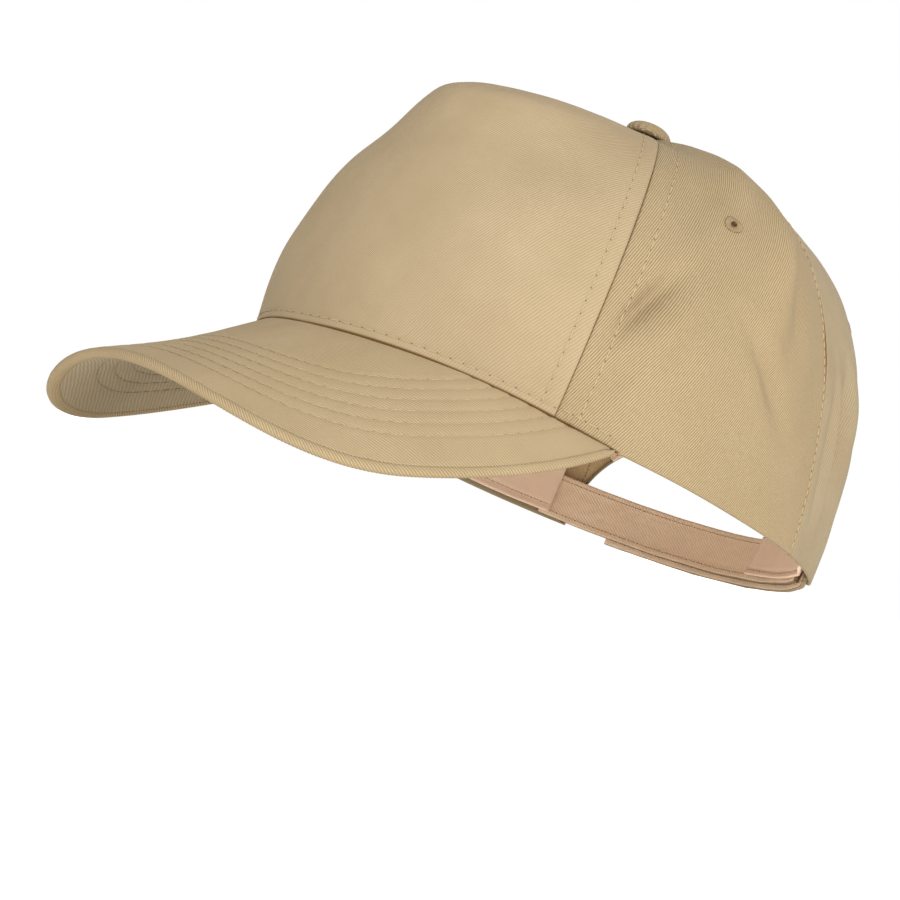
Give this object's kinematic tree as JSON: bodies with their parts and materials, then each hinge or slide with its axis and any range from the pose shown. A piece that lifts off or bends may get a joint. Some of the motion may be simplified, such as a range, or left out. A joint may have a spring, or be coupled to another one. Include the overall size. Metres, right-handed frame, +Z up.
{
  "type": "jockey cap",
  "caption": "Soft five-panel peaked cap with a curved peak, sweatband, top button and a lapped strap across an arched opening at the back.",
  "frame": {"origin": "on the surface that the cap rests on, under the middle of its bounding box", "axes": "+Z up, front of the cap towards -Y, wearer's left towards +X; the rim is pitched back by about 12 degrees, as the cap lies by itself"},
  "size_m": [0.1828, 0.266, 0.1362],
  "materials": {
    "shell_twill": "khaki cotton twill with a fine diagonal rib",
    "peak_twill": "khaki cotton twill stretched over a stiff board, stitched in rows",
    "peak_under_twill": "khaki cotton twill, matt",
    "sweatband_cotton": "pinkish beige plain cotton, softly brushed",
    "tape_cotton": "brown-beige woven tape",
    "strap_twill": "brown-beige cotton twill, hemmed",
    "eyelet_thread": "khaki thread, closely sewn"
  },
  "bodies": {
    "root": {"front_panel": "shell_twill", "side_panel_left": "shell_twill", "side_panel_right": "shell_twill", "back_panel_left": "shell_twill", "back_panel_right": "shell_twill", "peak_top": "peak_twill", "peak_under": "peak_under_twill", "sweatband": "sweatband_cotton", "arch_tape": "tape_cotton", "strap_inner": "strap_twill", "strap_outer": "strap_twill", "button": "shell_twill", "eyelet_side_left": "eyelet_thread", "eyelet_side_right": "eyelet_thread", "eyelet_back_left": "eyelet_thread", "eyelet_back_right": "eyelet_thread"}
  },
  "joints": []
}
